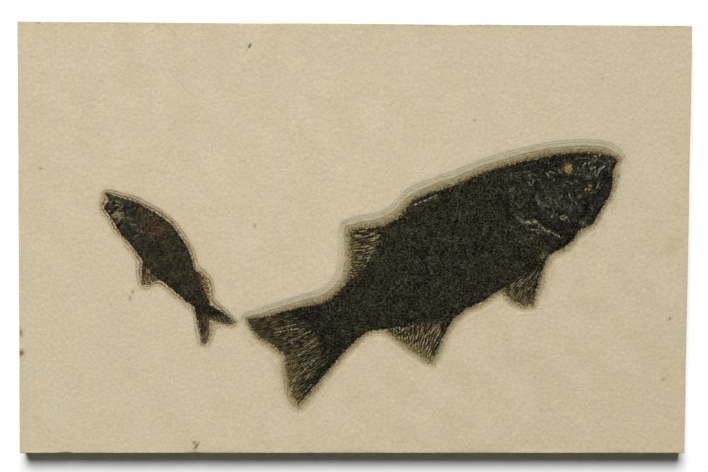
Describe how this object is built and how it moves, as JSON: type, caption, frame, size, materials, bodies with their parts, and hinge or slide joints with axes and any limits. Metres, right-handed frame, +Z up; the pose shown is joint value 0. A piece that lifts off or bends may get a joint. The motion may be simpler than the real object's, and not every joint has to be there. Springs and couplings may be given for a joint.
{
  "type": "fossil fish slab",
  "caption": "Sawn rectangular limestone slab with a large and a small fossil fish in low relief, each in a terraced margin worked down into the face.",
  "frame": {"origin": "centre of the slab's flat back, on the surface it rests on", "axes": "+X along the slab towards the large fish's head, +Y to the slab's top edge, +Z up out of the fossil face"},
  "size_m": [0.4052, 0.2592, 0.0158],
  "materials": {
    "limestone": "matt, fine-grained buff rock",
    "fossil_bone": "dark brown mineralised bone and scale, dull sheen",
    "fossil_bone_brown": "dark brown mineralised bone and scale, a little paler"
  },
  "bodies": {
    "root": {"limestone_slab": "limestone", "large_fish": "fossil_bone", "small_fish": "fossil_bone_brown"}
  },
  "joints": []
}
